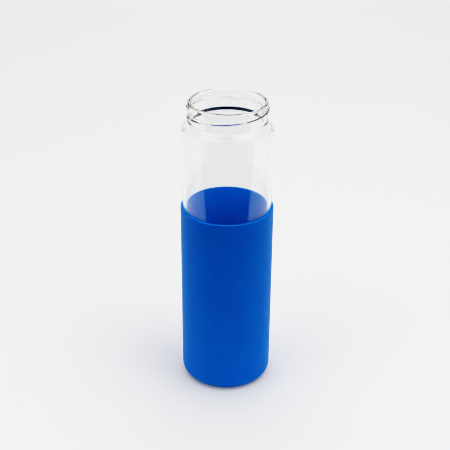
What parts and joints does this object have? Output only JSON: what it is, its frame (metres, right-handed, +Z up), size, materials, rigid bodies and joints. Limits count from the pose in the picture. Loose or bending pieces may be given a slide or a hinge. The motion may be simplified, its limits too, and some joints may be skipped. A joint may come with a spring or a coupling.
{
  "type": "sleeved glass water bottle",
  "caption": "Wide-mouth glass water bottle with a threaded neck, standing in a removable close-fitting blue silicone sleeve.",
  "frame": {"origin": "on the bottle's axis, in the plane that the sleeve's foot stands on", "axes": "+Z up along the bottle's axis, out of the mouth; -Y is the front"},
  "size_m": [0.07, 0.07, 0.2293],
  "materials": {
    "silicone": "satin, finely matt moulded",
    "clear_glass": "clear, polished"
  },
  "bodies": {
    "sleeve": {"silicone_sleeve": "silicone"},
    "bottle": {"glass_bottle": "clear_glass"}
  },
  "joints": [
    {"name": "bottle_lift", "type": "slide", "parent": "sleeve", "child": "bottle", "axis": [0, 0, 1], "range_m": [0, 0.15]}
  ]
}
